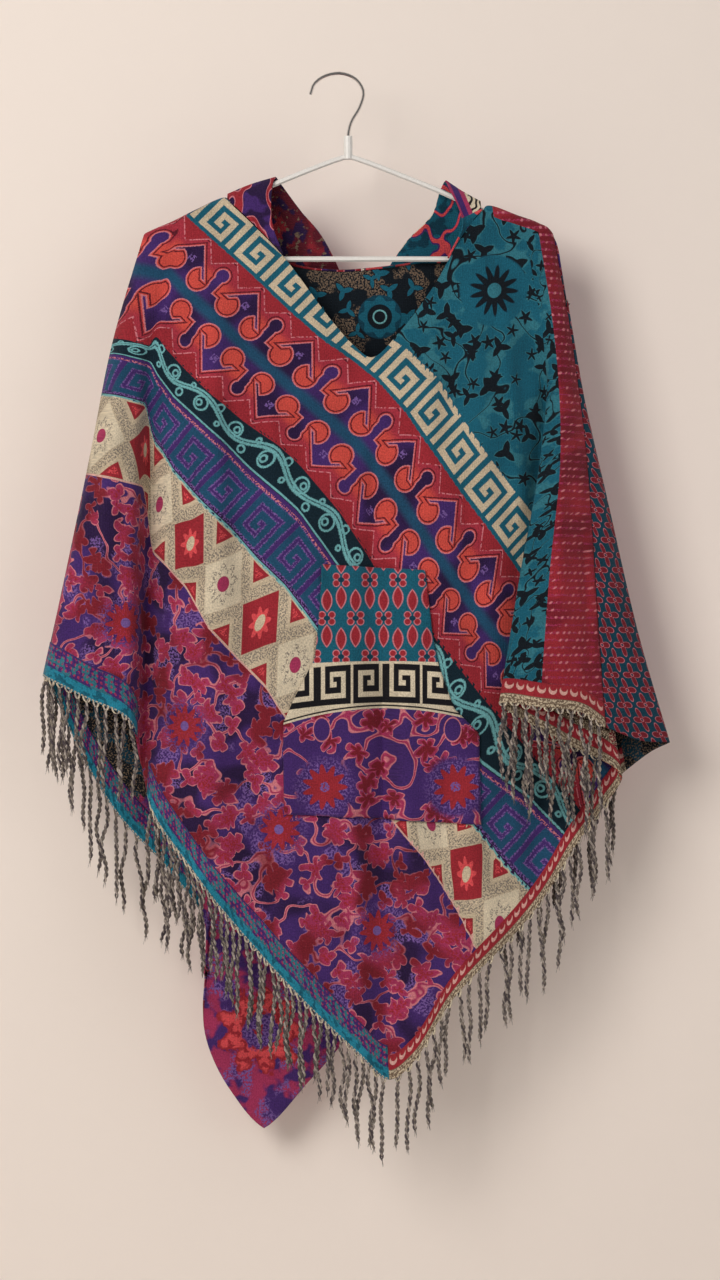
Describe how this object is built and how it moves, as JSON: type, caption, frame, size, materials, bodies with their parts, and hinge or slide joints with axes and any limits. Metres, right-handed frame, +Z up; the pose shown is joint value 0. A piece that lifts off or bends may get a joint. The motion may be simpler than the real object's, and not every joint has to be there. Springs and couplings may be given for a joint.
{
  "type": "hooded fringed poncho on a wire clothes hanger",
  "caption": "Woven shawl-cloth poncho with a V neck, hood, front pocket and twisted fringe, hanging on a coated wire hanger.",
  "frame": {"origin": "inner crown of the hanger's hook, where a nail or rail holds it", "axes": "+Z up, -Y is the poncho's front, +X to the viewer's right; the hanger lies in the XZ plane"},
  "size_m": [0.631, 0.1098, 1.0976],
  "materials": {
    "cloth_front": "matt jacquard weave in diagonal bands of teal, red, purple, navy and cream",
    "cloth_back": "matt jacquard weave in diagonal bands of purple, red, teal and cream",
    "cloth_hood": "matt jacquard weave, purple with red scrolls",
    "cloth_pocket": "matt jacquard weave, teal over purple with a cream key band",
    "hem_teal": "bright teal woven hem with twisted grey and off-white fringe",
    "hem_red": "red and tan woven hem with twisted grey and off-white fringe",
    "white_coat": "smooth white coating",
    "chrome": "polished wire"
  },
  "bodies": {
    "root": {"front_panel": "cloth_front", "back_panel": "cloth_back", "hood_left": "cloth_hood", "hood_right": "cloth_hood", "pocket": "cloth_pocket", "fringe_left_sleeve": "hem_teal", "fringe_front_left": "hem_teal", "fringe_front_right": "hem_red", "fringe_right_sleeve": "hem_red", "fringe_back_left": "hem_teal", "fringe_back_right": "hem_red", "hanger_frame": "white_coat", "hanger_hook": "chrome"}
  },
  "joints": []
}
